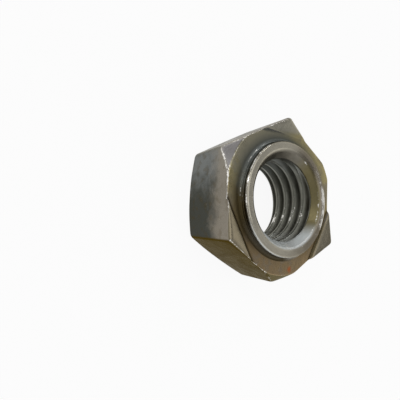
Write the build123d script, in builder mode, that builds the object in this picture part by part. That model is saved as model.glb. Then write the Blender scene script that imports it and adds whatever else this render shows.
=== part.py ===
"""Hex weld nut, nominal M16: a forged hexagon with a pilot collar and three weld projections.

The thread axis is Z. The flat back face lies in the plane Z = 0 and the collar points to +Z.
The hexagon's corners lie at 0, 60, 120 ... degrees, so two of its flats face +Y and -Y. The
corners at 0, 120 and 240 degrees carry the projections, and the three between them are relieved.
The bore is modelled at the thread's minor diameter.
"""

import os
from math import cos, radians, sin, sqrt, tan

from build123d import *

# Hexagon
across_flats = 24.0
corner_rounding = 1.0  # radius of the six upright corners
body_height = 10.5  # back face to bearing face

# Thread
thread_diameter = 16.0
thread_pitch = 2.0

# Back face
back_chamfer_inset = 0.2  # the chamfer starts this far inside the middle of each flat
back_chamfer_angle = 30.0
countersink_diameter = 17.6
countersink_angle = 90.0  # included

# Pilot collar, which centres the nut in its hole in the sheet
collar_diameter = 18.8
collar_height = 1.3  # above the bearing face
collar_foot_radius = 0.7
collar_rim_radius = 0.3
mouth_diameter = 16.2
mouth_angle = 75.0  # included
mouth_edge_radius = 0.15

# Weld projections on three alternate corners
projection_chord = 10.8  # thread axis to the straight inner edge of each projection
projection_step = 0.35  # height at that inner edge
projection_draft = 25.0  # lean of the step from upright
projection_height = 1.1  # height at the corner

# Relief on the three plain corners
relief_outset = 0.5  # the relief starts this far outside the middle of each flat
relief_angle = 56.0  # slope below the bearing face

front_edge_radius = 0.15  # the forged edges round the front are slightly soft

projecting_corners = (0, 120, 240)
plain_corners = (60, 180, 300)

bore_radius = (thread_diameter - 1.0825 * thread_pitch) / 2
corner_reach = across_flats / sqrt(3)
tool_reach = 1.1 * corner_reach  # how far the cutters reach, past the corners
relief_radius = across_flats / 2 + relief_outset
back_face_radius = across_flats / 2 - back_chamfer_inset
top_of_projections = body_height + projection_height
top_of_collar = body_height + collar_height


def radial_plane(angle):
    """The upright plane through the thread axis at this angle: x is outward and y is up."""
    along = radians(angle)
    return Plane(
        origin=(0, 0, 0),
        x_dir=(cos(along), sin(along), 0),
        z_dir=(sin(along), -cos(along), 0),
    )


with BuildPart() as weld_nut:
    # Hexagonal blank, as tall as the projections
    with BuildSketch() as hexagon:
        RegularPolygon(radius=across_flats / 2, side_count=6, major_radius=False)
        fillet(hexagon.vertices(), radius=corner_rounding)
    extrude(amount=top_of_projections)

    # Bearing face: sinking a triangle leaves a block on each alternate corner
    with BuildSketch(Plane.XY.offset(body_height)):
        RegularPolygon(radius=projection_chord, side_count=3, major_radius=False, rotation=60)
    extrude(amount=projection_height, taper=-projection_draft, mode=Mode.SUBTRACT)

    # Each block slopes up from its inner step to a point at the corner
    slope = (projection_height - projection_step) / (corner_reach - projection_chord)
    for angle in projecting_corners:
        with BuildSketch(radial_plane(angle)):
            with BuildLine():
                Polyline(
                    (projection_chord, body_height + projection_step),
                    (tool_reach, top_of_projections + slope * (tool_reach - corner_reach)),
                    (tool_reach, 2 * top_of_projections),
                    (projection_chord, 2 * top_of_projections),
                    close=True,
                )
            make_face()
        extrude(amount=tool_reach, both=True, mode=Mode.SUBTRACT)

    # Steep conical relief on the plain corners
    relief_drop = (tool_reach - relief_radius) * tan(radians(relief_angle))
    for angle in plain_corners:
        with BuildSketch(radial_plane(angle - 30)):
            with BuildLine():
                Polyline(
                    (relief_radius, body_height),
                    (tool_reach, body_height),
                    (tool_reach, body_height - relief_drop),
                    close=True,
                )
            make_face()
        revolve(axis=Axis.Z, revolution_arc=60, mode=Mode.SUBTRACT)

    # Soft edges where the front meets the flanks and where the reliefs begin
    front = weld_nut.edges().filter_by_position(
        Axis.Z, body_height - relief_drop, top_of_projections
    )
    fillet(front, radius=front_edge_radius)

    # Chamfer round the back face
    chamfer_rise = (tool_reach - back_face_radius) * tan(radians(back_chamfer_angle))
    with BuildSketch(Plane.XZ):
        with BuildLine():
            Polyline(
                (back_face_radius, 0),
                (tool_reach, 0),
                (tool_reach, chamfer_rise),
                close=True,
            )
        make_face()
    revolve(axis=Axis.Z, mode=Mode.SUBTRACT)

    # Pilot collar with a filleted foot and a rounded rim
    collar_radius = collar_diameter / 2
    with BuildSketch(Plane.XZ):
        with BuildLine():
            Line((0, body_height), (collar_radius + collar_foot_radius, body_height))
            RadiusArc(
                (collar_radius + collar_foot_radius, body_height),
                (collar_radius, body_height + collar_foot_radius),
                collar_foot_radius,
            )
            Line(
                (collar_radius, body_height + collar_foot_radius),
                (collar_radius, top_of_collar - collar_rim_radius),
            )
            RadiusArc(
                (collar_radius, top_of_collar - collar_rim_radius),
                (collar_radius - collar_rim_radius, top_of_collar),
                -collar_rim_radius,
            )
            Line((collar_radius - collar_rim_radius, top_of_collar), (0, top_of_collar))
            Line((0, top_of_collar), (0, body_height))
        make_face()
    revolve(axis=Axis.Z)

    # Bore, opened by a cone at the collar's mouth and by a countersink at the back
    with Locations((0, 0, top_of_collar)):
        CounterSinkHole(
            radius=bore_radius,
            counter_sink_radius=mouth_diameter / 2,
            counter_sink_angle=mouth_angle,
        )
    with Locations(Plane.XY.rotated((180, 0, 0))):
        CounterSinkHole(
            radius=bore_radius,
            counter_sink_radius=countersink_diameter / 2,
            counter_sink_angle=countersink_angle,
        )
    mouth_edge = weld_nut.edges().filter_by(GeomType.CIRCLE).group_by(Axis.Z)[-1]
    fillet(mouth_edge.sort_by(SortBy.RADIUS)[0], radius=mouth_edge_radius)

weld_nut.part.label = "weld_nut"

os.makedirs("parts", exist_ok=True)
export_step(weld_nut.part, "parts/weld_nut.step")
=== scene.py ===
"""Looks of the hex weld nut: one plated, threaded steel nut on a pale floor.

The nut is one mesh, built as columns of vertices round the thread axis. Each column runs from the
mouth of the bore over the collar, the front, the flank and the back face to the countersink, and
the threaded wall closes the form. Lengths are in millimetres and go to metres at the end. Angles in
the constants are in degrees.
"""

import math
from types import SimpleNamespace

import bpy
import numpy as np
from mathutils import Matrix, Vector


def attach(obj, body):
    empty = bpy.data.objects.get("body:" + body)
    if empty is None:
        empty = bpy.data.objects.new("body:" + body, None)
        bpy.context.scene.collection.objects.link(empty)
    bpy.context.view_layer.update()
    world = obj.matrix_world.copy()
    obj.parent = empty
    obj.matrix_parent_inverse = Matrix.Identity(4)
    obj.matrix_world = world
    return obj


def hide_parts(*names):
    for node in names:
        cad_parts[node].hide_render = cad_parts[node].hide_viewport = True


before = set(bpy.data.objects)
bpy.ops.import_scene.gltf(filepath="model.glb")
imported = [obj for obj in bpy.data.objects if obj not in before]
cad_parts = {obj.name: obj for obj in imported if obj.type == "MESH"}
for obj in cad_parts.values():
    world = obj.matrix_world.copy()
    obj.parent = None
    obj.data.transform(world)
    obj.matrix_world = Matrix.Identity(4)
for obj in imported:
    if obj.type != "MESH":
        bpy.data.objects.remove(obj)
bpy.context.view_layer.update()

MM = 0.001
SECTOR = math.radians(60)  # from one corner of the hexagon to the next

# Hexagon, as in the CAD part
ACROSS_FLATS = 24.0
CORNER_ROUNDING = 1.0
BODY_HEIGHT = 10.5
EDGE_SOFTNESS = 0.26  # width over which two faces blend at an outer edge
TIP_SOFTNESS = (0.45, 0.5, 0.2)  # added to it at the tips of the projections, tip by tip
TIP_SPAN = 24.0  # either side of a tip

# Back face
BACK_FACE_RADIUS = 11.8
BACK_CHAMFER_ANGLE = 30.0
COUNTERSINK_RADIUS = 8.8
COUNTERSINK_ANGLE = 45.0  # from the axis
COUNTERSINK_EDGE_RADIUS = 0.1

# Pilot collar
COLLAR_RADIUS = 9.4
COLLAR_HEIGHT = 1.3
COLLAR_FOOT_RADIUS = 0.7
COLLAR_RIM_RADIUS = 0.4
MOUTH_RADIUS = 8.3
MOUTH_DEPTH = 1.54
LEAD_IN = 0.5  # width of the flatter ring at the mouth's edge
LEAD_IN_ANGLE = 58.0
LEAD_IN_SOFTNESS = 0.06
MOUTH_EDGE_RADIUS = 0.25
FOOT_RIPPLE = 0.022  # depth of the turned grooves in the collar's foot
FOOT_RIPPLES = 3

# Weld projections and the reliefs between them
CHORD = 10.8
STEP = 0.35
STEP_LEAN = 25.0
PROJECTION_HEIGHT = 1.1
STEP_FOOT_SOFTNESS = 0.12
RELIEF_RADIUS = 12.5
RELIEF_ANGLE = 56.0
RELIEF_SHARPNESS = 0.65
DIE_SHIFT = (0.22, -0.34)  # the die that pressed the reliefs sat a little off the hexagon
STEP_LOSS = (0.33, 0.0, 0.0)  # height that a step has lost at its clockwise end, tip by tip

# Thread, M16 x 2, right hand
THREAD_PITCH = 2.0
CREST_RADIUS = 6.9175
ROOT_RADIUS = 8.0
THREAD_FLANK_ANGLE = 30.0
THREAD_SOFTNESS = 0.16
GROOVE_HEIGHT = 9.8  # height of a groove's middle at the angle below
GROOVE_ANGLE = 280.0
RUNOUT_START = 9.75  # the groove fades out from this height, over the span below
RUNOUT_SPAN = 0.45

# Wear and painted highlights, for the material: the marks paint highlights on the rim, the mouth,
# the foot's ridges, the crests, the cone and its knee.
# A mark is a middle angle, the span on either side of it and a strength. A band is a middle radius,
# a width and, where it isn't the usual one, its flat share
WEAR_SPAN = 0.34  # softness at which an edge counts as rubbed
WEAR_SHARP = 0.01  # softness at which it counts as sharp
WEAR_GAIN = 4.0
WEAR_MEAN = 0.95
WEAR_GLINT_SWING = 0.3
WEAR_GLINT_SIDE = 40  # the swing favours the side at this angle, a painted highlight on the edges there
UNWORN_STRIP = (0.1, 0.4)  # place outside a step's foot, and width
ROUNDED_LOSS = 2.0  # how fast the wear ends towards a rounded tip
BACK_EDGE_WEAR = 0.6
RIM_EDGE_BAND = (COLLAR_RADIUS - 0.08, 0.1)
RIM_EDGE_WEAR = 0.25
# painted highlights on the rim's edge and face and on the mouth's edge
RIM_EDGE_MARK = (60, 60, 0.85)
RIM_FACE_BAND = (COLLAR_RADIUS - 0.3, 0.25)
RIM_FACE_MARK = (262, 34, 1.6)
MOUTH_BAND = (MOUTH_RADIUS + 0.35, 0.35)
MOUTH_MARK = (272, 50, 1.2)
RIDGE_MARKS = ((46, 28, 1.0), (86, 10, 1.0))  # painted highlight arcs on the ridges of the collar's foot
RIDGE_GAIN = 1.6
RIDGE_START = 0.4
RIDGE_FADE = 0.15  # the ridges' painted highlight rises over this distance from the collar's wall
CREST_WEAR = 0.1
# painted highlights on the crests, the mouth's cone and its knee
CREST_MARKS = ((250, 16, 0.75), (195, 24, 0.7))
CREST_FADE = 6.0  # how fast the wear and painted highlight end beside a crest
CONE_MARK = (190, 30, 0.35)
KNEE_BAND = (MOUTH_RADIUS - LEAD_IN, 0.12, 0.2)  # where the flatter ring meets the mouth's cone; a painted highlight there
KNEE_SIDE = 222
KNEE_GAIN = 1.8
KNEE_MARK = (329, 5, 1.4)

# Painted shade, for the material: darker in the thread's grooves, round the collar's foot, along
# the steps' feet and down the collar's wall
GROOVE_SHADE = 0.12
RING_SHADE_WIDTH = 1.9  # painted shade: a dark ring round the collar's foot, which fades out towards -X
RING_SHADE_SWING = 0.2
RING_SHADE_SIDE = 50
RING_SHADE_POWER = 1.3
RING_SHADE_END = -10.5
RING_SHADE_FADE = 5.0
RING_SHADE_LEAST = 0.1
CREASE_SPAN = 0.24  # painted shade: a dark line along a step's foot
WALL_SHADE_TOP = 0.25  # below the collar's top
WALL_SHADE_FADE = 0.4
LIGHTER_WALL_MARK = (215, 35, 0.8)

# Rows of the mesh and the sums behind them
MOUTH_STEPS = 4
RIM_STEPS = 5
FOOT_STEPS = 18
COUNTERSINK_STEPS = 3
ROW_BEFORE_RELIEF = 0.1  # rows just inside and outside the circle at which the reliefs start
ROW_PAST_RELIEF = 0.08
INNER_ROW_CLEARANCE = 0.42  # least distances of these two rows from the hexagon's side
OUTER_ROW_CLEARANCE = 0.24
THREAD_ROWS = (0.06, 0.13, 0.22, 0.34, 0.48, 0.62, 0.7, 0.77, 0.86)  # half pitches from a groove
MERGE_HEIGHT = 0.004  # rows of the thread this close to its ends join them
BISECTIONS = 40
SLIDES = 12
NUDGE = 1e-4
LEAST_SLOPE = 0.25  # a slide divides by the distance's squared slope, and by no less than this
FACE_TOLERANCE = 0.05
RIM_TOLERANCE = 0.01
SAME = 1e-6
FAR_INSIDE = -5.0

corner_reach = ACROSS_FLATS / math.sqrt(3)
top_of_collar = BODY_HEIGHT + COLLAR_HEIGHT
half_chord = (ACROSS_FLATS / 2 - CHORD * math.cos(SECTOR / 2)) / math.sin(SECTOR / 2)
lead_in_depth = LEAD_IN / math.tan(math.radians(LEAD_IN_ANGLE))
foot_end = COLLAR_RADIUS + COLLAR_FOOT_RADIUS


def smooth_max(a, b, width):
    """The larger of two distances, blended where they are within width of each other."""
    return np.maximum(a, b) + np.maximum(width - np.abs(a - b), 0) ** 2 / (4 * width)


def smooth_min(a, b, width):
    """The smaller of two distances, blended in the same way."""
    return -smooth_max(-a, -b, width)


def ease(share):
    """A share from 0 to 1 that leaves and arrives gently."""
    return share * share * (3 - 2 * share)


def band(value, middle, width, flat=0.3):
    """1 round a middle value, out to flat times the width, falling to 0 one width further out."""
    return np.clip(1 + flat - np.abs(value - middle) / width, 0, 1)


def mark(angle, middle, span, strength):
    """A mark's strength at its middle angle, falling to 0 at the span on either side of it."""
    away = np.mod(np.degrees(angle) - middle + 180, 360) - 180
    return strength * np.clip(1 - (away / span) ** 2, 0, 1)


def facing(angle, side):
    """1 at the side's angle, which is in degrees, and -1 opposite it."""
    return np.cos(angle - math.radians(side))


def column_angles():
    """Angles of the columns, closer together at the corners and where edges meet."""
    spans = (  # from, to and number of columns, between a projection's corner and the next one
        (0, 2.4, 8),
        (2.4, 5, 4),
        (5, 23, 15),
        (23, 27.5, 9),
        (27.5, 44, 14),
        (44, 49, 7),
        (49, 55, 5),
        (55, 57.6, 4),
        (57.6, 60, 8),
    )
    one = np.concatenate([np.linspace(a, b, n, endpoint=False) for a, b, n in spans])
    back = 60 - np.append(one[1:], 60)[::-1]
    sectors = [60 * k + (one if k % 2 == 0 else back) for k in range(6)]
    return np.radians(np.concatenate(sectors))


ANGLES = column_angles()


def hexagon_distance(reach, angle):
    """Distance outside the rounded hexagon, at a reach from the axis and an angle."""
    from_flat = np.mod(angle, SECTOR) - SECTOR / 2
    along, across = reach * np.cos(from_flat), np.abs(reach * np.sin(from_flat))
    inner = ACROSS_FLATS / 2 - CORNER_ROUNDING
    past = np.maximum(across - inner * math.tan(SECTOR / 2), 0)
    outside = np.hypot(np.maximum(along - inner, 0), past)
    return outside + np.minimum(along - inner, 0) - CORNER_ROUNDING


def hexagon_reach(angle):
    """Distance from the axis to the rounded hexagon's side."""
    low = np.full_like(angle, ACROSS_FLATS / 2 - CORNER_ROUNDING)
    high = np.full_like(angle, corner_reach)
    for _ in range(BISECTIONS):
        middle = (low + high) / 2
        outside = hexagon_distance(middle, angle) > 0
        low, high = np.where(outside, low, middle), np.where(outside, middle, high)
    return (low + high) / 2


def from_projection(angle):
    """Angle from the nearest corner that carries a projection."""
    return np.mod(angle + SECTOR, 2 * SECTOR) - SECTOR


def tip_number(angle):
    """Which projection is nearest: 0 at 0 degrees, 1 at 120, 2 at 240."""
    return np.round(np.mod(angle, 2 * math.pi) / (2 * SECTOR)).astype(int) % 3


def tip_softness(angle):
    """Softness that the nearest projection's tip adds to the outer edge."""
    share = np.clip(1 - np.abs(from_projection(angle)) / math.radians(TIP_SPAN), 0, 1)
    return np.array(TIP_SOFTNESS)[tip_number(angle)] * ease(share)


def step_loss(reach, angle):
    """Height that the projection's step has lost, from its clockwise end to here."""
    across = reach * np.sin(from_projection(angle)) / (2 * half_chord)
    return np.array(STEP_LOSS)[tip_number(angle)] * np.clip(0.5 - across, 0, 1)


def projection_top(reach, angle):
    """Height of a projection's top above the bearing face."""
    middle_loss = np.array(STEP_LOSS)[tip_number(angle)] / 2
    slope = (PROJECTION_HEIGHT - STEP + middle_loss) / (corner_reach - CHORD)
    outward = reach * np.cos(from_projection(angle)) - CHORD
    return STEP - step_loss(reach, angle) + slope * outward


def relief_reach(angle):
    """Distance from the axis to the circle at which the reliefs start."""
    return RELIEF_RADIUS + DIE_SHIFT[0] * np.cos(angle) + DIE_SHIFT[1] * np.sin(angle)


def body_distance(reach, height, angle, softness=EDGE_SOFTNESS, tips=True):
    """Roughly the distance outside the nut's body, without its collar and bore."""
    turn = from_projection(angle)
    outward = reach * np.cos(turn) - CHORD
    lean = math.radians(STEP_LEAN)
    above = height - BODY_HEIGHT
    ramp = above * math.sin(lean) - outward * math.cos(lean)
    top = above - projection_top(reach, angle)
    block = smooth_max(ramp, top, softness)
    front = smooth_min(above, block, STEP_FOOT_SOFTNESS)
    fall = math.radians(RELIEF_ANGLE)
    relief = (reach - relief_reach(angle)) * math.sin(fall) + above * math.cos(fall)
    relief = np.where(np.abs(turn) > SECTOR / 2, relief, FAR_INSIDE)
    front = smooth_max(front, relief, RELIEF_SHARPNESS * softness)
    rise = math.radians(BACK_CHAMFER_ANGLE)
    chamfer = (reach - BACK_FACE_RADIUS) * math.sin(rise) - height * math.cos(rise)
    back = smooth_max(chamfer, -height, softness)
    edge = EDGE_SOFTNESS + tip_softness(angle) if tips else softness
    side = smooth_max(hexagon_distance(reach, angle), front, edge)
    return smooth_max(side, back, softness)


def clustered(length, near, even):
    """Positions from 0 to length: the near distances from both ends and an even run between."""
    near = np.asarray(near)[:, None] * np.minimum(1.0, length / max(3 * near[-1], SAME))
    share = (np.arange(even) + 1)[:, None] / (even + 1)
    middle = near[-1] + (length - 2 * near[-1]) * share
    return np.vstack([near, middle, (length - near)[::-1]])


def near_step(reach, height, angle, place, span):
    """1 on the line at a place outside a step's foot, falling to 0 past the span."""
    turn = from_projection(angle)
    on_front = (height > BODY_HEIGHT - FACE_TOLERANCE) & (np.abs(turn) < SECTOR / 2)
    return band(reach * np.cos(turn), CHORD + place, span) * on_front


def body_corners():
    """Corners of the columns' sharp outline, from the collar's foot round to the countersink."""
    side = hexagon_reach(ANGLES)
    turn = from_projection(ANGLES)
    rise = math.tan(math.radians(STEP_LEAN))
    on_chord = CHORD / np.cos(turn)
    on_ramp = (CHORD + STEP * rise) / np.cos(turn)
    plain = np.abs(turn) > SECTOR / 2
    circle = relief_reach(ANGLES)
    inner = np.where(plain, circle - ROW_BEFORE_RELIEF, on_chord)
    inner = np.minimum(inner, side - INNER_ROW_CLEARANCE)
    outer = np.where(plain, circle + ROW_PAST_RELIEF, on_ramp)
    outer = np.minimum(outer, side - OUTER_ROW_CLEARANCE)

    block = projection_top(side, ANGLES)
    ramp = np.maximum((side * np.cos(turn) - CHORD) / rise, 0)
    fall = np.maximum(side - circle, 0) * math.tan(math.radians(RELIEF_ANGLE))
    edge = BODY_HEIGHT + np.where(plain, -fall, np.minimum(ramp, block))
    at_outer = np.clip((outer * np.cos(turn) - CHORD) / rise, 0, STEP)
    at_outer = BODY_HEIGHT + np.where(plain, 0, at_outer)
    chamfer = (side - BACK_FACE_RADIUS) * math.tan(math.radians(BACK_CHAMFER_ANGLE))

    one = np.ones_like(side)
    return (
        (foot_end * one, BODY_HEIGHT * one),
        (inner, BODY_HEIGHT * one),
        (outer, at_outer),
        (side, edge),
        (side, chamfer),
        (BACK_FACE_RADIUS * one, 0 * one),
        ((COUNTERSINK_RADIUS + COUNTERSINK_EDGE_RADIUS) * one, 0 * one),
    )


def body_columns():
    """Reach and height of the rows from the collar's foot round to the countersink."""
    corners = body_corners()
    runs = (  # distances of the rows near both ends of each side, and even rows between them
        ((0.0, 0.12), 5),
        ((0.0,), 3),
        ((0.0, 0.07, 0.14, 0.24), 6),
        ((0.0, 0.06, 0.12, 0.2, 0.34, 0.55, 0.85), 5),
        ((0.0, 0.06, 0.14), 2),
        ((0.0, 0.08, 0.18), 4),
    )
    reach, height = [], []
    for (r0, z0), (r1, z1), (near, even) in zip(corners, corners[1:], runs):
        length = np.maximum(np.hypot(r1 - r0, z1 - z0), SAME)
        share = clustered(length, near, even)[:-1] / length
        reach.append(r0 + (r1 - r0) * share)
        height.append(z0 + (z1 - z0) * share)
    reach, height = np.vstack(reach), np.vstack(height)

    # each vertex slides on to the softened body, staying in its column's plane
    angle = np.broadcast_to(ANGLES, reach.shape)
    for _ in range(SLIDES):
        value = body_distance(reach, height, angle)
        along = (body_distance(reach + NUDGE, height, angle) - value) / NUDGE
        up = (body_distance(reach, height + NUDGE, angle) - value) / NUDGE
        slope = np.maximum(along**2 + up**2, LEAST_SLOPE)
        reach = reach - value * along / slope
        height = height - value * up / slope
    return reach, height


def arc(centre, radius, start, end, steps):
    """Points of an arc in the half plane of reach and height; angles in degrees."""
    turn = np.radians(np.linspace(start, end, steps + 1))
    x, z = centre[0] + radius * np.cos(turn), centre[1] + radius * np.sin(turn)
    return np.stack([x, z], 1)


def collar_outline():
    """From the mouth's cone over the rim to the foot of the collar, as (reach, height)."""
    tangent = MOUTH_EDGE_RADIUS * math.tan(math.radians((90 - LEAD_IN_ANGLE) / 2))
    centre = (MOUTH_RADIUS + tangent, top_of_collar - MOUTH_EDGE_RADIUS)
    mouth = arc(centre, MOUTH_EDGE_RADIUS, 180 - LEAD_IN_ANGLE, 90, MOUTH_STEPS)
    rim_end = COLLAR_RADIUS - COLLAR_RIM_RADIUS
    rim = np.linspace(mouth[-1][0], rim_end, RIM_STEPS)[1:-1]
    rim = np.stack([rim, np.full_like(rim, top_of_collar)], 1)
    centre = (rim_end, top_of_collar - COLLAR_RIM_RADIUS)
    outer = arc(centre, COLLAR_RIM_RADIUS, 90, 0, RIM_STEPS)
    along = np.linspace(0, 1, FOOT_STEPS + 1)
    ripple = FOOT_RIPPLE * np.sin(2 * math.pi * FOOT_RIPPLES * along) * np.sin(math.pi * along)
    centre = (foot_end, BODY_HEIGHT + COLLAR_FOOT_RADIUS)
    foot = arc(centre, COLLAR_FOOT_RADIUS + ripple, 180, 270, FOOT_STEPS)
    return np.vstack([mouth, rim, outer, foot[:-1]])


def collar_wear_and_glints(outline):
    """Wear and painted highlights on the collar's outline: on its rim, the mouth's edge and the
    ridges of the foot.
    """
    reach, height = outline[:, :1], outline[:, 1:]
    edge = RIM_EDGE_WEAR + mark(ANGLES, *RIM_EDGE_MARK)
    edge = edge * band(reach, *RIM_EDGE_BAND)
    face = band(reach, *RIM_FACE_BAND) * mark(ANGLES, *RIM_FACE_MARK)
    mouth = band(reach, *MOUTH_BAND) * mark(ANGLES, *MOUTH_MARK)
    on_rim = height > top_of_collar - COLLAR_RIM_RADIUS - RIM_TOLERANCE
    rub_and_glint = np.maximum(np.maximum(edge, face), mouth) * on_rim
    up = height - BODY_HEIGHT - COLLAR_FOOT_RADIUS
    out_of_fillet = COLLAR_FOOT_RADIUS - np.hypot(reach - foot_end, up)
    ridge = np.clip(RIDGE_GAIN * out_of_fillet / FOOT_RIPPLE - RIDGE_START, 0, 1) * ~on_rim
    ridge = ridge * np.clip((reach - COLLAR_RADIUS) / RIDGE_FADE, 0, 1)
    ridge = ridge * sum(mark(ANGLES, *place) for place in RIDGE_MARKS)
    return np.maximum(rub_and_glint, ridge)


def collar_shade(outline):
    """Painted shade down the collar's outer wall, with one lighter stretch."""
    reach, height = outline[:, :1], outline[:, 1:]
    wall = np.clip((top_of_collar - WALL_SHADE_TOP - height) / WALL_SHADE_FADE, 0, 1)
    wall = wall * (reach > (MOUTH_RADIUS + COLLAR_RADIUS) / 2)
    return wall * (1 - mark(ANGLES, *LIGHTER_WALL_MARK))


def body_wear_and_glints(reach, height):
    """Wear along the body's edges, but not beside the steps or past the rounded tips, with a
    painted highlight towards one side.
    """
    angle = np.broadcast_to(ANGLES, reach.shape)
    edge = body_distance(reach, height, angle, WEAR_SPAN, tips=False)
    edge = edge - body_distance(reach, height, angle, WEAR_SHARP, tips=False)
    edge = np.clip(WEAR_GAIN * edge / WEAR_SPAN, 0, 1)
    edge = edge * (1 - near_step(reach, height, angle, *UNWORN_STRIP))
    rounded = np.where(from_projection(angle) < 0, tip_softness(angle) / TIP_SOFTNESS[0], 0)
    edge = edge * np.clip(1 - ROUNDED_LOSS * rounded, 0, 1)
    # the swing paints a highlight: the edges brighter towards one side
    return edge * (WEAR_MEAN + WEAR_GLINT_SWING * facing(angle, WEAR_GLINT_SIDE))


def body_shade(reach, height):
    """Painted shade on the front: a ring round the collar's foot and a line along each step's foot.
    """
    angle = np.broadcast_to(ANGLES, reach.shape)
    width = RING_SHADE_WIDTH * (1 + RING_SHADE_SWING * facing(angle, RING_SHADE_SIDE))
    ring = np.clip(1 - (reach - foot_end) / width, 0, 1) ** RING_SHADE_POWER
    ring = ring * (height > BODY_HEIGHT / 2)
    ring = ring * np.clip((reach * np.cos(angle) - RING_SHADE_END) / RING_SHADE_FADE, RING_SHADE_LEAST, 1)
    crease = near_step(reach, height, angle, -CREASE_SPAN / 2, CREASE_SPAN)
    return np.maximum(ring, crease * (1 - step_loss(reach, angle) / STEP))


def countersink_edge():
    """The edge between the back face and its countersink, as (reach, height)."""
    tangent = COUNTERSINK_EDGE_RADIUS * math.tan(math.radians((90 - COUNTERSINK_ANGLE) / 2))
    centre = (COUNTERSINK_RADIUS + tangent, COUNTERSINK_EDGE_RADIUS)
    end = 180 + COUNTERSINK_ANGLE
    return arc(centre, COUNTERSINK_EDGE_RADIUS, 270, end, COUNTERSINK_STEPS)


def mouth_reach(height):
    """Reach of the cone at the collar's mouth, with the flatter ring at its edge."""
    down = top_of_collar - height
    lead_in = MOUTH_RADIUS - down * math.tan(math.radians(LEAD_IN_ANGLE))
    run = MOUTH_RADIUS - LEAD_IN - CREST_RADIUS
    cone = MOUTH_RADIUS - LEAD_IN - (down - lead_in_depth) * run / (MOUTH_DEPTH - lead_in_depth)
    return smooth_max(lead_in, cone, LEAD_IN_SOFTNESS)


def helix_climb(angle):
    """How far the helix has climbed at an angle, from where its groove's height is given."""
    return THREAD_PITCH * (angle - math.radians(GROOVE_ANGLE)) / (2 * math.pi)


def bore_reach(height, angle):
    """Reach of the bore's wall: the thread, opened by a cone at either end."""
    climb = helix_climb(angle)
    turns = np.round((height - GROOVE_HEIGHT - climb) / THREAD_PITCH)
    middle = GROOVE_HEIGHT + climb + turns * THREAD_PITCH
    away = np.abs(height - middle)
    fade = ease(np.clip((middle - RUNOUT_START) / RUNOUT_SPAN, 0, 1))
    root = ROOT_RADIUS - (ROOT_RADIUS - CREST_RADIUS) * fade
    flank = root - (away - THREAD_PITCH / 16) / math.tan(math.radians(THREAD_FLANK_ANGLE))
    crest = smooth_max(flank, CREST_RADIUS, THREAD_SOFTNESS)
    wall = smooth_min(root, crest, 2 * THREAD_SOFTNESS)
    back = COUNTERSINK_RADIUS - height * math.tan(math.radians(COUNTERSINK_ANGLE))
    return np.maximum(wall, np.maximum(mouth_reach(height), back))


def ring_points(reach, height, angle):
    """Points in space for rows of reach and height, as one list."""
    height = np.broadcast_to(height, reach.shape)
    return np.stack([reach * np.cos(angle), reach * np.sin(angle), height], -1).reshape(-1, 3)


def outer_rows():
    """Reach and height of all rows outside the bore, and the material's facts about them."""
    collar, edge = collar_outline(), countersink_edge()
    body_reach, body_height = body_columns()
    one = np.ones(len(ANGLES))
    reach = np.vstack([collar[:, :1] * one, body_reach, edge[:, :1] * one])
    height = np.vstack([collar[:, 1:] * one, body_height, edge[:, 1:] * one])
    at_edge = np.ones((len(edge), len(ANGLES)))
    wear = [collar_wear_and_glints(collar), body_wear_and_glints(body_reach, body_height), BACK_EDGE_WEAR * at_edge]
    shade_paint = [collar_shade(collar), body_shade(body_reach, body_height), 0 * at_edge]
    machined = np.clip((foot_end - reach) / COLLAR_FOOT_RADIUS, 0, 1)
    machined = machined * (height > BODY_HEIGHT / 2)
    facts = {"wear": np.vstack(wear), "hollow": np.vstack(shade_paint), "machined": machined}
    return reach, height, facts


def thread_rows(low, high):
    """Heights of the thread's rows, which climb with the helix, and how many there are a turn."""
    offsets = np.array(sorted([0.0, 1.0, *THREAD_ROWS, *[-r for r in THREAD_ROWS]]))
    first = math.floor((low - GROOVE_HEIGHT) / THREAD_PITCH) - 1
    last = math.ceil((high - GROOVE_HEIGHT) / THREAD_PITCH) + 1
    turns = GROOVE_HEIGHT + THREAD_PITCH * np.arange(first, last + 1)
    base = (turns[:, None] + offsets * THREAD_PITCH / 2).reshape(-1, 1)
    return base + helix_climb(ANGLES), len(offsets)


def thread_facts(reach, height, angle):
    """Crest wear with painted highlights, painted shade in the grooves, and painted highlights on
    the mouth's cone and its knee.
    """
    cone = np.abs(reach - mouth_reach(height)) < SAME
    groove = np.clip((reach - CREST_RADIUS) / (ROOT_RADIUS - CREST_RADIUS), 0, 1) * ~cone
    # the crest marks, the cone mark and the knee paint highlights
    crest = CREST_WEAR + sum(mark(angle, *place) for place in CREST_MARKS)
    wear = crest * np.clip(1 - CREST_FADE * groove, 0, 1) * ~cone
    wear = np.maximum(wear, mark(angle, *CONE_MARK) * cone)
    knee = band(reach, *KNEE_BAND) * cone
    wear = np.maximum(wear, knee * np.clip(KNEE_GAIN * facing(angle, KNEE_SIDE), 0, 1))
    wear = np.maximum(wear, knee * mark(angle, *KNEE_MARK))
    return {"wear": wear, "hollow": GROOVE_SHADE * groove, "machined": np.ones_like(reach)}


def without_loose_points(points, faces, facts):
    """The same mesh without the points that no face uses."""
    used = np.zeros(len(points), bool)
    used[[v for f in faces for v in f]] = True
    place = np.cumsum(used) - 1
    faces = [tuple(int(place[v]) for v in f) for f in faces]
    return points[used], faces, {name: values[used] for name, values in facts.items()}


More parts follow.
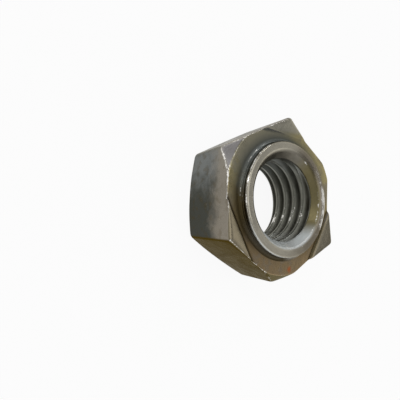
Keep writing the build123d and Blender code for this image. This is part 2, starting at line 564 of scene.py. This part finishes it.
def nut_mesh():
    """Vertices in millimetres, faces, and what the material wants to know at each vertex."""
    reach, height, outer_facts = outer_rows()
    outer = ring_points(reach, height, ANGLES)
    rows, count = reach.shape
    here = np.arange(count)
    after = np.roll(here, -1)
    row = np.arange(rows - 1)[:, None] * count
    below = row + count
    outside = np.stack([row + here, below + here, below + after, row + after], -1)

    # the thread's rows are pressed together at both ends, where they join the outer rows
    low, high = height[-1, 0], height[0, 0]
    heights, rows_per_turn = thread_rows(low, high)
    at_low, at_high = heights <= low + MERGE_HEIGHT, heights >= high - MERGE_HEIGHT
    heights = np.clip(heights, low, high)
    angle = np.broadcast_to(ANGLES, heights.shape)
    bore = bore_reach(heights, angle)
    wall = ring_points(bore, heights, angle)
    wall_facts = thread_facts(bore, heights, angle)
    number = len(outer) + np.arange(heights.size).reshape(heights.shape)
    number = np.where(at_low, (rows - 1) * count + here, number)
    number = np.where(at_high, here, number)
    # one turn on, a row has climbed to the place of the row one pitch above it
    joined = np.zeros((len(heights), 1), int)
    joined[:-rows_per_turn, 0] = number[rows_per_turn:, 0]
    number = np.hstack([number, joined])
    inside = np.stack([number[:-1, :-1], number[1:, :-1], number[1:, 1:], number[:-1, 1:]], -1)

    faces = [tuple(f) for f in outside.reshape(-1, 4).tolist()]
    for quad in inside.reshape(-1, 4).tolist():
        corners = tuple(dict.fromkeys(quad))
        if len(corners) > 2:
            faces.append(corners)
    facts = {
        name: np.concatenate([values.ravel(), wall_facts[name].ravel()])
        for name, values in outer_facts.items()
    }
    return without_loose_points(np.vstack([outer, wall]), faces, facts)


def make_nut():
    """The nut as an object, with the material's facts as attributes of its vertices."""
    points, faces, facts = nut_mesh()
    mesh = bpy.data.meshes.new("hex_weld_nut")
    mesh.from_pydata((points * MM).tolist(), [], faces)
    for name, values in facts.items():
        mesh.attributes.new(name, "FLOAT", "POINT").data.foreach_set("value", values)
    mesh.validate()
    mesh.shade_smooth()
    nut = bpy.data.objects.new("hex_weld_nut", mesh)
    bpy.context.scene.collection.objects.link(nut)
    return nut


nut = make_nut()
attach(nut, "root")
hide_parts("weld_nut")


class Nodes:
    """Adds the nodes of one material or world in few words; an input is a socket or a value."""

    def __init__(self, owner):
        owner.use_nodes = True
        self.tree = owner.node_tree

    def add(self, kind, *inputs, **settings):
        node = self.tree.nodes.new(kind)
        for name, value in settings.items():
            setattr(node, name, value)
        for socket, value in zip(node.inputs, inputs):
            self.put(socket, value)
        return node

    def put(self, socket, value):
        if isinstance(value, bpy.types.NodeSocket):
            self.tree.links.new(value, socket)
        elif value is not None:
            socket.default_value = value

    def math(self, operation, a, b=None, c=None):
        return self.add("ShaderNodeMath", a, b, c, operation=operation).outputs[0]

    def span(self, value, start, end, least=0.0, most=1.0):
        """A smooth rise from least to most as the value goes from start to end."""
        node = self.add("ShaderNodeMapRange", interpolation_type="SMOOTHSTEP")
        for socket, given in zip(node.inputs, (value, start, end, least, most)):
            self.put(socket, given)
        return node.outputs[0]

    def mix(self, share, a, b):
        node = self.add("ShaderNodeMix", data_type="RGBA")
        self.put(node.inputs["Factor"], share)
        for name, value in (("A", a), ("B", b)):
            socket = next(i for i in node.inputs if i.name == name and i.type == "RGBA")
            self.put(socket, value)
        return next(o for o in node.outputs if o.type == "RGBA")

    def paint(self, colour, *coats):
        """A colour under coats of (share, colour), each over the ones before it."""
        for share, coat in coats:
            colour = self.mix(share, colour, coat)
        return colour

    def noise(self, place, scale, detail, roughness, distortion):
        node = self.add("ShaderNodeTexNoise")
        values = {"Vector": place, "Scale": scale, "Detail": detail}
        values.update({"Roughness": roughness, "Distortion": distortion})
        for name, value in values.items():
            self.put(node.inputs[name], value)
        return node.outputs["Fac"]

    def fact(self, name):
        return self.add("ShaderNodeAttribute", attribute_name=name).outputs["Fac"]


def grey(value):
    return (value, value, value, 1)


# Colours of the forged faces, among them painted shade and painted light on the front and the
# flanks
OLIVE = (0.45, 0.39, 0.2, 1)
OLIVE_SHADE = (0.35, 0.325, 0.235, 1)
BROWN = (0.345, 0.255, 0.145, 1)
LAVENDER = (0.28, 0.25, 0.205, 1)
PROJECTION_GREY = (0.43, 0.41, 0.34, 1)
PROJECTION_BROWN = (0.33, 0.29, 0.205, 1)
PROJECTION_SHADE = (0.235, 0.22, 0.17, 1)
RELIEF_GREY = (0.36, 0.345, 0.34, 1)
RELIEF_OLIVE = (0.17, 0.148, 0.09, 1)
FLANK_BROWN_AND_SHADE = (0.074, 0.051, 0.016, 1)
FLANK_SHADE_BLUE = (0.062, 0.065, 0.058, 1)
FLANK_LIT_GREY = (0.27, 0.285, 0.285, 1)

# Colours of the cut faces, among them painted shade on the rim and the thread and painted light on
# the cone
RIM_GREY = (0.485, 0.455, 0.375, 1)
RIM_SHADE_BROWN = (0.26, 0.23, 0.18, 1)
CONE_TOP = (0.215, 0.2, 0.165, 1)
CONE_LIT_GREY = (0.78, 0.82, 0.82, 1)
CONE_OLIVE = (0.185, 0.158, 0.08, 1)
THREAD_GREY = (0.29, 0.3, 0.275, 1)
THREAD_SHADE = (0.2, 0.2, 0.17, 1)

# Colours of painted shade, rust, and rubbed edges with painted highlights
SHADE_BROWN = (0.05, 0.036, 0.012, 1)
SHADE_GREY = (0.1, 0.107, 0.097, 1)
WALL_SHADE_GREY = (0.28, 0.31, 0.31, 1)
RUST = (0.5, 0.16, 0.06, 1)
RUBBED_AND_GLINT = (0.9, 0.88, 0.83, 1)

# The plating's surface
METALLIC = 0.97
SPECULAR_TINT = (0.5, 0.47, 0.4, 1)
NOISES = {  # scale per millimetre, detail, roughness and distortion
    "broad": (0.16, 2.0, 0.5, 0.6),
    "middle": (0.5, 4.0, 0.6, 0.4),
    "fine": (2.6, 4.0, 0.6, 0.0),
    "speckle": (4.5, 2.0, 0.5, 0.0),
    "patches": (0.9, 2.0, 0.5, 0.0),
}
LEAN_BLUR = 9.0  # how far the middle noise shifts the borders along x, and those along y and z
RISE_BLUR = 5.0
RUST_BLUR = 0.8

# Where one colour gives way to another: from and to, in millimetres along the axis that is named,
# or in the value of a noise or of the normal; then the least and most share, where they aren't 0
# and 1
OLIVE_X = (-2.0, 8.5)
BROAD_CLOUDS = (0.52, 0.68, 0.0, 0.7)
SMALL_CLOUDS = (0.5, 0.7, 0.0, 0.4)
SHADED_FRONT_X = (6.5, 10.5, 0.0, 0.95)
SHADED_FRONT_Y = (-3.0, 2.0)
SLOPE_Z = (BODY_HEIGHT + 0.2, BODY_HEIGHT + 0.45, 0.0, 0.85)
SLOPE_GREY_X = (-3.0, 3.0)
SLOPE_SHADE_Y = (-5.0, -9.0)
RUST_SPOT = (-11.4, -1.6, BODY_HEIGHT)
RUST_REACH = (1.1, 0.5)
FLANK_TURN = (0.8, 0.62)  # the normal's Z
RELIEF_TURN = (0.36, 0.5)
RELIEF_GREY_X = (-5.0, 0.0)
FLANK_LIT_X = (3.0, 10.0, 0.0, 0.6)
LIT_FLANK_TURN = (0.3, 0.6)  # the normal's X
SHADED_FLANK_TURN = (-0.35, -0.65)
FLANK_CLOUDS = (0.5, 0.72, 0.0, 0.3)
FLANK_LIT_FRONT_Z = (8.0, 12.0, 0.0, 0.85)
THREAD_SHADE_Y = (2.5, 6.0)  # to both sides
CONE_Z = (10.0, 10.35)
CONE_OLIVE_Y = (-2.0, -5.5)
CONE_LIT_X = (-3.2, -6.2)
RIM_Z = (top_of_collar - 0.3, top_of_collar - 0.04)
RIM_SHADE_Y = (4.0, -2.0)
MOTTLING = (0.3, 0.75, 0.0, 0.06)
SHADE_GREY_X = (2.5, 8.0)
WALL_SHADE_GREY_X = (3.0, 8.0)
SHADE_COVER = 0.93  # share of the plating's colour that full painted shade hides

# Rubbed places and painted highlights: wear, highlight marks and unevenness add up, and the plating
# brightens as their sum rises
WEAR_GLINT_WEIGHT = 0.75
WEAR_GLINT_UNEVENNESS = 1.7
WEAR_GLINT_SUM = (0.45, 0.95)
WEAR_GLINT_GATE = (0.0, 0.12, 0.1, 1.0)  # how much of it shows at very little wear

# Roughness, and heights of the bumps in millimetres
PLAIN_ROUGHNESS = (0.3, 0.7, 0.17, 0.32)
DULL_FORGED = 0.2  # what the full painted shade mask adds to the roughness of forged faces, and of cut ones
DULL_CUT = -0.1
WEAR_GLINT_POLISH = -0.1
BORE_ROUGHNESS = (top_of_collar - 0.1, top_of_collar - 0.4, 0.0, 0.14)
FAR_CONE_X = (-3.0, -6.0, 0.0, 0.2)
FAR_CONE_Z = (9.9, 10.2)
FORGED_WAVE = 0.06
CUT_WAVE = 0.015
FINE_WAVE = 0.0035
GRAIN = 0.0004
WEAR_GLINT_GRAIN = 0.012


def surface_of(n):
    """What the nut's material goes by: place in millimetres, normal, facts and noises.

    The lean is x with a noisy shift, which makes borders between colours ragged.
    """
    texture = n.add("ShaderNodeTexCoord")
    place = n.add("ShaderNodeVectorMath", texture.outputs["Object"], operation="SCALE")
    place.inputs["Scale"].default_value = 1 / MM
    place = place.outputs[0]
    x, y, z = n.add("ShaderNodeSeparateXYZ", place).outputs
    normal = n.add("ShaderNodeSeparateXYZ", texture.outputs["Normal"]).outputs
    facts = {name: n.fact(name) for name in ("wear", "hollow", "machined")}
    noises = {name: n.noise(place, *values) for name, values in NOISES.items()}
    lean = n.math("MULTIPLY_ADD", noises["middle"], LEAN_BLUR, x)
    return SimpleNamespace(place=place, x=x, y=y, z=z, lean=lean, normal=normal, **facts, **noises)


def front_colour(n, s):
    """Forged front: olive towards +X, brown towards -X, with lavender clouds and a rust spot;
    painted shade darkens the face near +X and the projections' slopes towards -Y.
    """
    # painted shade: the face darker towards +X on the +Y side
    shaded_corner = n.math("MULTIPLY", n.span(s.lean, *SHADED_FRONT_X), n.span(s.y, *SHADED_FRONT_Y))
    bearing_face = n.paint(
        BROWN,
        (n.span(s.lean, *OLIVE_X), OLIVE),
        (n.span(s.broad, *BROAD_CLOUDS), LAVENDER),
        (n.span(s.patches, *SMALL_CLOUDS), LAVENDER),
        (shaded_corner, OLIVE_SHADE),
    )
    slopes = n.paint(
        PROJECTION_BROWN,
        (n.span(s.x, *SLOPE_GREY_X), PROJECTION_GREY),
        # painted shade: the slopes darker towards -Y
        (n.span(s.y, *SLOPE_SHADE_Y), PROJECTION_SHADE),
    )
    from_spot = n.add("ShaderNodeVectorMath", s.place, operation="DISTANCE")
    from_spot.inputs[1].default_value = RUST_SPOT
    from_spot = n.math("MULTIPLY_ADD", s.fine, RUST_BLUR, from_spot.outputs["Value"])
    return n.paint(
        bearing_face,
        (n.span(s.z, *SLOPE_Z), slopes),
        (n.span(from_spot, *RUST_REACH), RUST),
    )


def flank_colour(n, s):
    """Flanks: dark, bluish on the middle pair, brown towards -X, lighter towards +X and near the
    front; this is painted shade and painted reflection of the floor, with some brown patches of the
    flanks' own tone.
    """
    rise = n.math("MULTIPLY_ADD", s.middle, RISE_BLUR, s.z)
    relief = n.mix(n.span(s.x, *RELIEF_GREY_X), RELIEF_OLIVE, RELIEF_GREY)
    # painted light and shade: dark and bluish low down, lighter towards +X and near the front,
    # darker and brown on the side facing -X; the brown patches are the flanks' own tone
    return n.paint(
        FLANK_SHADE_BLUE,
        (n.span(s.lean, *FLANK_LIT_X), FLANK_LIT_GREY),
        (n.span(s.normal["X"], *LIT_FLANK_TURN), FLANK_LIT_GREY),
        (n.span(rise, *FLANK_LIT_FRONT_Z), LAVENDER),
        (n.span(s.normal["X"], *SHADED_FLANK_TURN), FLANK_BROWN_AND_SHADE),
        (n.span(s.patches, *FLANK_CLOUDS), FLANK_BROWN_AND_SHADE),
        (n.span(s.normal["Z"], *RELIEF_TURN), relief),
    )


def cut_colour(n, s):
    """Cut faces: bluish thread with painted shade to both sides, olive cone with painted light
    towards -X, and pale rim with painted shade towards -Y.
    """
    sideways = n.math("ABSOLUTE", s.y)
    # painted shade: the thread darker to both sides
    thread = n.mix(n.span(sideways, *THREAD_SHADE_Y), THREAD_GREY, THREAD_SHADE)
    cone = n.paint(
        CONE_TOP,
        (n.span(s.y, *CONE_OLIVE_Y), CONE_OLIVE),
        # painted light: the cone pale towards -X
        (n.span(s.x, *CONE_LIT_X), CONE_LIT_GREY),
    )
    # painted shade: the rim darker and browner towards -Y
    across = n.math("MULTIPLY_ADD", s.middle, RISE_BLUR, s.y)
    rim = n.mix(n.span(across, *RIM_SHADE_Y), RIM_GREY, RIM_SHADE_BROWN)
    return n.paint(thread, (n.span(s.z, *CONE_Z), cone), (n.span(s.z, *RIM_Z), rim))


def rub_and_glint_share(n, s):
    """Where the plating is rubbed bright or carries a painted highlight: on the worn and marked
    places, broken up by two noises.
    """
    uneven = n.math("ADD", s.speckle, s.patches)
    uneven = n.math("MULTIPLY_ADD", uneven, WEAR_GLINT_UNEVENNESS, -WEAR_GLINT_UNEVENNESS)
    rub_and_glint = n.span(n.math("MULTIPLY_ADD", s.wear, WEAR_GLINT_WEIGHT, uneven), *WEAR_GLINT_SUM)
    return n.math("MULTIPLY", rub_and_glint, n.span(s.wear, *WEAR_GLINT_GATE))


def steel_colour(n, s, rub_and_glint):
    """The faces' colours under a little mottling, painted shade, and rubbed places with painted
    highlights.
    """
    # colour of the painted shade: brown, greyer towards +X, and bluish grey on cut faces towards +X
    wall = n.math("MULTIPLY", s.machined, n.span(s.x, *WALL_SHADE_GREY_X))
    shade_paint = n.paint(SHADE_BROWN, (n.span(s.lean, *SHADE_GREY_X), SHADE_GREY), (wall, WALL_SHADE_GREY))
    return n.paint(
        front_colour(n, s),
        (n.span(s.normal["Z"], *FLANK_TURN), flank_colour(n, s)),
        (s.machined, cut_colour(n, s)),
        (n.span(s.fine, *MOTTLING), grey(0.0)),
        (n.math("MULTIPLY", s.hollow, SHADE_COVER), shade_paint),
        (rub_and_glint, RUBBED_AND_GLINT),
    )


def steel_roughness(n, s, rub_and_glint):
    """Uneven; smoother on rubbed places and painted highlights, rougher in the bore and most on the
    far side of its cone.
    """
    rough = n.span(s.middle, *PLAIN_ROUGHNESS)
    dull = n.math("MULTIPLY_ADD", s.machined, DULL_CUT - DULL_FORGED, DULL_FORGED)
    rough = n.math("MULTIPLY_ADD", s.hollow, dull, rough)
    rough = n.math("MULTIPLY_ADD", rub_and_glint, WEAR_GLINT_POLISH, rough)
    far_cone = n.math("MULTIPLY", n.span(s.x, *FAR_CONE_X), n.span(s.z, *FAR_CONE_Z))
    added = n.math("ADD", far_cone, n.span(s.z, *BORE_ROUGHNESS))
    return n.math("MULTIPLY_ADD", s.machined, added, rough)


def steel_bumps(n, s):
    """Waves, which are lower on cut faces, and a grain that is coarser on worn places and painted
    highlights.
    """
    wave = n.math("MULTIPLY_ADD", s.machined, CUT_WAVE - FORGED_WAVE, FORGED_WAVE)
    height = n.math("MULTIPLY", s.middle, wave)
    height = n.math("MULTIPLY_ADD", s.fine, FINE_WAVE, height)
    grain = n.math("MULTIPLY_ADD", s.wear, WEAR_GLINT_GRAIN, GRAIN)
    height = n.math("MULTIPLY_ADD", grain, s.speckle, height)
    bump = n.add("ShaderNodeBump")
    bump.inputs["Strength"].default_value = 1.0
    bump.inputs["Distance"].default_value = MM
    n.put(bump.inputs["Height"], height)
    return bump.outputs["Normal"]


def plated_steel():
    """Zinc-plated forged steel, olive to brown: flanks dark, cut faces light, edges rubbed, with
    painted shade in hollows and on shaded sides, and painted highlights.
    """
    material = bpy.data.materials.new("plated_steel")
    n = Nodes(material)
    shader = n.tree.nodes["Principled BSDF"]
    shader.inputs["Metallic"].default_value = METALLIC
    shader.inputs["Specular Tint"].default_value = SPECULAR_TINT
    surface = surface_of(n)
    rub_and_glint = rub_and_glint_share(n, surface)
    n.put(shader.inputs["Base Color"], steel_colour(n, surface, rub_and_glint))
    n.put(shader.inputs["Roughness"], steel_roughness(n, surface, rub_and_glint))
    n.put(shader.inputs["Normal"], steel_bumps(n, surface))
    return material


nut.data.materials.append(plated_steel())


# Floor, in metres and shares
FLOOR_HALF_WIDTH = 0.6
FLOOR_DROP = 0.00002
FLOOR_GREY = 0.95
FLOOR_WHITE_SEEN = 0.92
FLOOR_WHITE_REFLECTED = 0.85


def pale_floor():
    """White as the eye, the metal and glass see it, apart from a share of its real shading."""
    material = bpy.data.materials.new("pale_floor")
    n = Nodes(material)
    shader = n.tree.nodes["Principled BSDF"]
    shader.inputs["Base Color"].default_value = grey(FLOOR_GREY)
    shader.inputs["Roughness"].default_value = 1.0
    shader.inputs["Specular IOR Level"].default_value = 0.0
    white = n.add("ShaderNodeEmission", grey(1.0), 1.0)
    path = n.add("ShaderNodeLightPath")
    bright = n.math("MAXIMUM", path.outputs["Is Glossy Ray"], path.outputs["Is Transmission Ray"])
    share = n.math("MULTIPLY", path.outputs["Is Camera Ray"], FLOOR_WHITE_SEEN)
    share = n.math("MULTIPLY_ADD", bright, FLOOR_WHITE_REFLECTED, share)
    both = n.add("ShaderNodeMixShader", share, shader.outputs[0], white.outputs[0])
    n.tree.links.new(both.outputs[0], n.tree.nodes["Material Output"].inputs["Surface"])
    return material


corner_signs = ((-1, -1), (1, -1), (1, 1), (-1, 1))
floor_mesh = bpy.data.meshes.new("floor")
floor_mesh.from_pydata(
    [(x * FLOOR_HALF_WIDTH, y * FLOOR_HALF_WIDTH, 0) for x, y in corner_signs], [], [(0, 1, 2, 3)]
)
floor_mesh.materials.append(pale_floor())
floor = bpy.data.objects.new("floor", floor_mesh)
floor.location = (0, 0, -FLOOR_DROP)
bpy.context.scene.collection.objects.link(floor)


# Studio, in grey levels of the sky, and lamps
SKY_HORIZON = 0.95
SKY_CEILING = (0.2, 0.2, 0.205, 1)
SKY_TOP = 0.12
SKY_EAST = 0.2
CEILING_RISE = (0.2, 0.95)  # the sight line's Z
TOP_RISE = (0.8, 0.92)
EAST_TURN = (0.35, 0.9, 0.0, 0.6)  # the sight line's X
LAMP_DISTANCE = 0.5  # metres
LAMPS = (  # name, azimuth, elevation, width and strength
    ("key", 20, 80, 66, 0.75),
    ("window", -16, 33, 6, 0.1),
    ("glint", 53, 33, 6, 0.2),
)


def direction(azimuth, elevation):
    """Unit vector towards an azimuth from +X and an elevation, both in degrees."""
    a, e = math.radians(azimuth), math.radians(elevation)
    return Vector((math.cos(a) * math.cos(e), math.sin(a) * math.cos(e), math.sin(e)))


def studio():
    """A white horizon under a grey ceiling, dimmer at the top and towards +X."""
    world = bpy.data.worlds.new("studio")
    bpy.context.scene.world = world
    n = Nodes(world)
    sight = n.add("ShaderNodeTexCoord").outputs["Generated"]
    east, _, height = n.add("ShaderNodeSeparateXYZ", sight).outputs
    light = n.paint(
        grey(SKY_HORIZON),
        (n.span(height, *CEILING_RISE), SKY_CEILING),
        (n.span(height, *TOP_RISE), grey(SKY_TOP)),
        (n.span(east, *EAST_TURN), grey(SKY_EAST)),
    )
    n.put(n.tree.nodes["Background"].inputs["Color"], light)


def soft_lamp(name, azimuth, elevation, width, strength):
    """A soft lamp far away, at a direction and of a width in degrees."""
    data = bpy.data.lights.new(name, "SUN")
    data.energy = strength
    data.angle = math.radians(width)
    lamp = bpy.data.objects.new(name, data)
    bpy.context.scene.collection.objects.link(lamp)
    lamp.rotation_mode = "QUATERNION"
    lamp.rotation_quaternion = direction(azimuth, elevation).to_track_quat("Z", "Y")
    lamp.location = direction(azimuth, elevation) * LAMP_DISTANCE


studio()
for lamp_settings in LAMPS:
    soft_lamp(*lamp_settings)

# Camera
CAMERA_PLACE = Vector((-5.271, 37.147, 42.249)) * MM
CAMERA_AIM = Vector((-1.203, 13.488, 5.878)) * MM
CAMERA_RIGHT = Vector((0.0562, -0.8336, 0.5495))
CAMERA_LENS = 25.81
SENSOR_WIDTH = 36.0
CLIP_START = 0.001
CLIP_END = 10.0

camera_data = bpy.data.cameras.new("camera")
camera = bpy.data.objects.new("camera", camera_data)
bpy.context.scene.collection.objects.link(camera)
back = (CAMERA_PLACE - CAMERA_AIM).normalized()
right = (CAMERA_RIGHT - CAMERA_RIGHT.dot(back) * back).normalized()
up = back.cross(right)
turned = Matrix((right, up, back)).transposed().to_4x4()
camera.matrix_world = Matrix.Translation(CAMERA_PLACE) @ turned
camera_data.lens = CAMERA_LENS
camera_data.sensor_width = SENSOR_WIDTH
camera_data.clip_start = CLIP_START
camera_data.clip_end = CLIP_END
bpy.context.scene.camera = camera

bpy.context.scene.view_settings.view_transform = "Standard"
